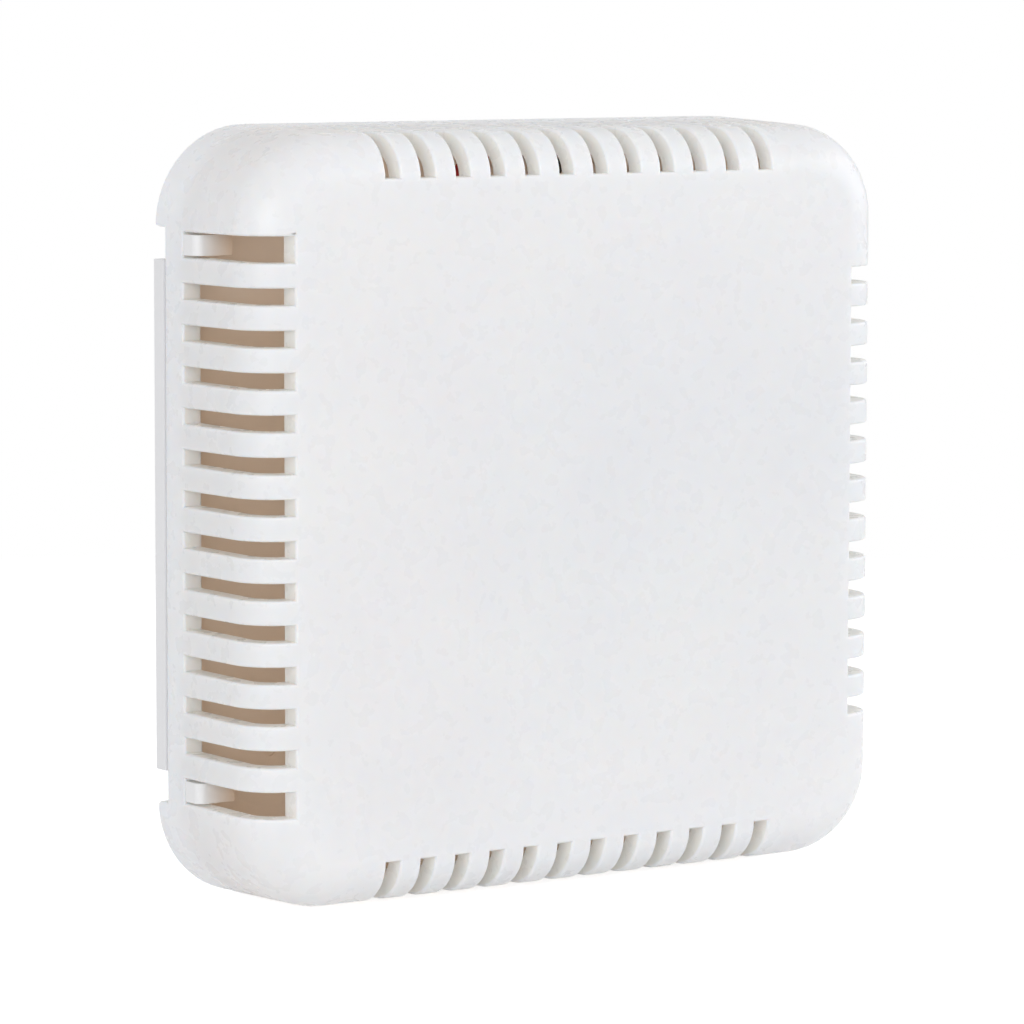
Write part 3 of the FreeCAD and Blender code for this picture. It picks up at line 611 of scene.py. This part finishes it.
def add_box(form, low, high):
    low, high = Vector(low), Vector(high)
    made = bmesh.ops.create_cube(form, size=1.0)["verts"]
    bmesh.ops.scale(form, vec=high - low, verts=made)
    bmesh.ops.translate(form, vec=(low + high) / 2, verts=made)


def add_catch(form, z):
    """A rib inside the right wall that a hook of the base holds."""
    inner = cover_half - cover_side_wall
    low = (inner - catch_reach, catch_y[1], z - catch_length / 2)
    high = (inner + cover_side_wall / 2, catch_y[0], z + catch_length / 2)
    add_box(form, low, high)


def add_piece(name, form, body, used, replaced=()):
    """A mesh that rides on a body, smooth but for its creases, with weighted normals."""
    for face in form.faces:
        face.smooth = True
    for edge in form.edges:
        edge.smooth = edge.is_manifold and edge.calc_face_angle() < crease_angle
    mesh = bpy.data.meshes.new(name)
    form.to_mesh(mesh)
    form.free()
    for finish in used:
        mesh.materials.append(finish)
    piece = bpy.data.objects.new(name, mesh)
    bpy.context.scene.collection.objects.link(piece)
    normals = piece.modifiers.new("normals", "WEIGHTED_NORMAL")
    normals.weight = 100
    normals.keep_sharp = True
    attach(piece, body)
    if replaced:
        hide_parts(*replaced)


def is_sharp(edge):
    """Whether the edge is a sharp outer corner."""
    return edge.is_manifold and edge.calc_face_angle_signed() > sharp_angle


def is_vent_edge(edge):
    """Whether the edge lies between the outer skin and the cut wall of a vent."""
    return is_sharp(edge) and sorted(face.material_index for face in edge.link_faces) == [0, 2]


def round_edges(form, chosen, radius, segments):
    """Rounds the edges that chosen picks."""
    bmesh.ops.bevel(
        form, geom=[edge for edge in form.edges if chosen(edge)], offset=radius, offset_type="OFFSET",
        segments=segments, profile=0.5, affect="EDGES", clamp_overlap=False,
    )


def make_cover():
    form = shell_form()
    for z in (catch_z, -catch_z):
        add_catch(form, z)
    round_edges(form, is_vent_edge, vent_round, vent_segments)
    round_edges(form, is_sharp, edge_round, edge_segments)
    for vertex in form.verts:
        vertex.co.y = max(vertex.co.y, -cover_depth)
    skins = (finishes["cover_plastic"], inside_shade_finish, cut_finish)
    add_piece("cover_shell", form, "cover", skins, ["front_cover"])


def add_turned(form, x, z, profile):
    """A closed ring or disc about an axis along Y through (x, z), from (radius, y) points."""
    rings = []
    for radius, y in profile:
        ring = []
        for step in range(round_sides):
            angle = 2 * math.pi * step / round_sides
            ring.append(form.verts.new((x + radius * math.cos(angle), y, z + radius * math.sin(angle))))
        rings.append(ring)
    for index, ring in enumerate(rings):
        following = rings[(index + 1) % len(rings)]
        for step in range(round_sides):
            after = (step + 1) % round_sides
            form.faces.new((ring[step], ring[after], following[after], following[step]))
    bmesh.ops.recalc_face_normals(form, faces=form.faces)


def add_disc(form, x, y, z, radius):
    """A thin printed disc on a face at y that looks to the front."""
    add_turned(form, x, z, [(film, y), (film, y - film), (radius, y - film), (radius, y)])


def separate_boxes(node):
    """(lowest corner, highest corner) of every separate solid in a node."""
    form = bmesh.new()
    form.from_mesh(nodes[node].data)
    bmesh.ops.remove_doubles(form, verts=form.verts, dist=weld_distance)
    left, boxes = set(form.verts), []
    while left:
        border, reached = [left.pop()], []
        while border:
            vertex = border.pop()
            reached.append(vertex.co.copy())
            beside = {edge.other_vert(vertex) for edge in vertex.link_edges} & left
            left -= beside
            border += beside
        axes = list(zip(*reached))
        boxes.append((Vector([min(axis) for axis in axes]), Vector([max(axis) for axis in axes])))
    form.free()
    return sorted(boxes, key=lambda box: tuple(box[0]))


def make_boss_skirts():
    """The soft sloping foot round each of the two spare bosses on the base's floor."""
    form = bmesh.new()
    span = boss_skirt_radius - boss_radius
    inner = boss_radius * skirt_inner_share
    profile = [(inner, floor_y + 2 * film), (inner, boss_top_y - film)]
    for step in range(skirt_steps + 1):
        share = step / skirt_steps
        drop = (1 - math.cos(math.pi * share)) / 2
        y = boss_top_y - film + (floor_y - boss_top_y + 2 * film) * drop
        profile.append((boss_radius + span * share, y))
    profile.append((boss_skirt_radius, floor_y + 2 * film))
    for z in (boss_z, -boss_z):
        add_turned(form, boss_x, z, profile)
    add_piece("boss_skirts", form, "base", [finishes["base_plastic"]])


def make_chip_ends():
    """The tinned ends of the small resistors and capacitors."""
    form = bmesh.new()
    outset = Vector((film, film, film))
    for node in ("chip_resistors", "chip_capacitors"):
        for low, high in separate_boxes(node):
            low, high = low - outset, high + outset
            add_box(form, low, (low.x + chip_end_length, high.y, high.z))
            add_box(form, (high.x - chip_end_length, low.y, low.z), high)
    add_piece("chip_ends", form, "base", [finishes["pin_metal"]])


def make_board_print():
    """White outlines printed on the board round its larger parts."""
    form = bmesh.new()
    bottom, top = board_top_y + film, board_top_y - film
    for node in ("lead_header", "capacitor_base", "crystal", "memory_chip", "button_housing"):
        low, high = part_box(node)
        x0, x1 = low.x - print_gap - print_width, high.x + print_gap + print_width
        z0, z1 = low.z - print_gap - print_width, high.z + print_gap + print_width
        add_box(form, (x0, top, z0), (x1, bottom, z0 + print_width))
        add_box(form, (x0, top, z1 - print_width), (x1, bottom, z1))
        add_box(form, (x0, top, z0), (x0 + print_width, bottom, z1))
        add_box(form, (x1 - print_width, top, z0), (x1, bottom, z1))
    add_piece("board_print", form, "base", [print_finish])


def make_marks():
    """The first-pin mark of each large chip, and the white port over the temperature sensor."""
    form = bmesh.new()
    for node in ("microcontroller", "memory_chip"):
        low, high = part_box(node)
        add_disc(form, low.x + mark_inset, low.y, high.z - mark_inset, mark_radius)
    add_piece("chip_marks", form, "base", [mark_finish])
    form = bmesh.new()
    low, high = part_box("temperature_sensor")
    add_disc(form, (low.x + high.x) / 2, low.y, (low.z + high.z) / 2, sensor_port_radius)
    add_piece("sensor_port", form, "base", [finishes["connector_plastic"]])


def make_camera():
    back = Vector((
        math.sin(view_azimuth) * math.cos(view_elevation),
        -math.cos(view_azimuth) * math.cos(view_elevation),
        math.sin(view_elevation),
    ))
    right = (-back).cross(Vector((0, 0, 1))).normalized()
    up = right.cross(-back)
    turned_right = math.cos(view_roll) * right + math.sin(view_roll) * up
    turned_up = math.cos(view_roll) * up - math.sin(view_roll) * right
    data = bpy.data.cameras.new("camera")
    data.sensor_width = sensor_width
    data.lens = sensor_width * lens_share
    data.clip_start = clip_start
    camera = bpy.data.objects.new("camera", data)
    bpy.context.scene.collection.objects.link(camera)
    turn = Matrix((turned_right, turned_up, back)).transposed().to_4x4()
    camera.matrix_world = Matrix.Translation(view_target + back * view_distance) @ turn
    bpy.context.scene.camera = camera


def make_lamp(name, azimuth, elevation, distance, width, height, power, colour):
    a, e = math.radians(azimuth), math.radians(elevation)
    out = Vector((math.sin(a) * math.cos(e), -math.cos(a) * math.cos(e), math.sin(e)))
    data = bpy.data.lights.new(name, "AREA")
    data.shape = "RECTANGLE"
    data.size = width
    data.size_y = height
    data.energy = power
    data.color = colour
    lamp = bpy.data.objects.new(name, data)
    bpy.context.scene.collection.objects.link(lamp)
    turn = out.to_track_quat("Z", "Y").to_matrix().to_4x4()
    lamp.matrix_world = Matrix.Translation(lamp_centre + out * distance) @ turn


def seen_directly(tree):
    """1 for what the camera, a mirror or clear glass sees, else 0."""
    path = tree.nodes.new("ShaderNodeLightPath")
    total = path.outputs["Is Camera Ray"]
    for name in ("Is Glossy Ray", "Is Transmission Ray"):
        node = tree.nodes.new("ShaderNodeMath")
        node.operation = "MAXIMUM"
        tree.links.new(total, node.inputs[0])
        tree.links.new(path.outputs[name], node.inputs[1])
        total = node.outputs["Value"]
    return total


def make_world():
    world = bpy.data.worlds.new("studio")
    world.use_nodes = True
    bpy.context.scene.world = world
    tree = world.node_tree
    backdrop = tree.nodes["Background"]
    backdrop.inputs["Color"].default_value = (1, 1, 1, 1)
    strength = tree.nodes.new("ShaderNodeMapRange")
    strength.inputs["To Min"].default_value = world_strength
    strength.inputs["To Max"].default_value = 1.0
    tree.links.new(seen_directly(tree), strength.inputs["Value"])
    tree.links.new(strength.outputs["Result"], backdrop.inputs["Strength"])


def make_floor():
    lowest = cad_bounds[0].z - floor_gap
    half = floor_size / 2
    mesh = bpy.data.meshes.new("floor")
    corners = [(-half, -half, lowest), (half, -half, lowest), (half, half, lowest), (-half, half, lowest)]
    mesh.from_pydata(corners, [], [(0, 1, 2, 3)])
    floor = bpy.data.objects.new("floor", mesh)
    bpy.context.scene.collection.objects.link(floor)
    finish = Finish("floor_white")
    fine = finish.noise(60.0, 3.0)
    finish.colour(finish.ramp(fine, srgb(240, 240, 240), srgb(237, 237, 237), 0.3, 0.7))
    finish.set(Roughness=0.9, Emission_Color=(1, 1, 1, 1), Specular_IOR_Level=0.1)
    direct = seen_directly(finish.tree)
    finish.link(finish.ramp(direct, 0.0, floor_lift), finish.shader.inputs["Emission Strength"])
    reach = finish.add("ShaderNodeVectorMath", operation="LENGTH")
    finish.link(finish.place, reach.inputs[0])
    away = finish.ramp(reach.outputs["Value"], 0.0, 1.0, floor_near, floor_far)
    white = finish.add("ShaderNodeEmission")
    blend = finish.add("ShaderNodeMixShader")
    finish.link(finish.math("MULTIPLY", away, direct), blend.inputs["Fac"])
    finish.link(finish.shader.outputs["BSDF"], blend.inputs[1])
    finish.link(white.outputs["Emission"], blend.inputs[2])
    finish.link(blend.outputs["Shader"], finish.tree.nodes["Material Output"].inputs["Surface"])
    mesh.materials.append(finish.material)


dress_nodes()
make_cover()
make_boss_skirts()
make_chip_ends()
make_board_print()
make_marks()
make_camera()
for lamp in lamps:
    make_lamp(*lamp)
make_world()
make_floor()
bpy.context.scene.view_settings.view_transform = "Standard"
bpy.context.scene.cycles.diffuse_bounces = light_bounces
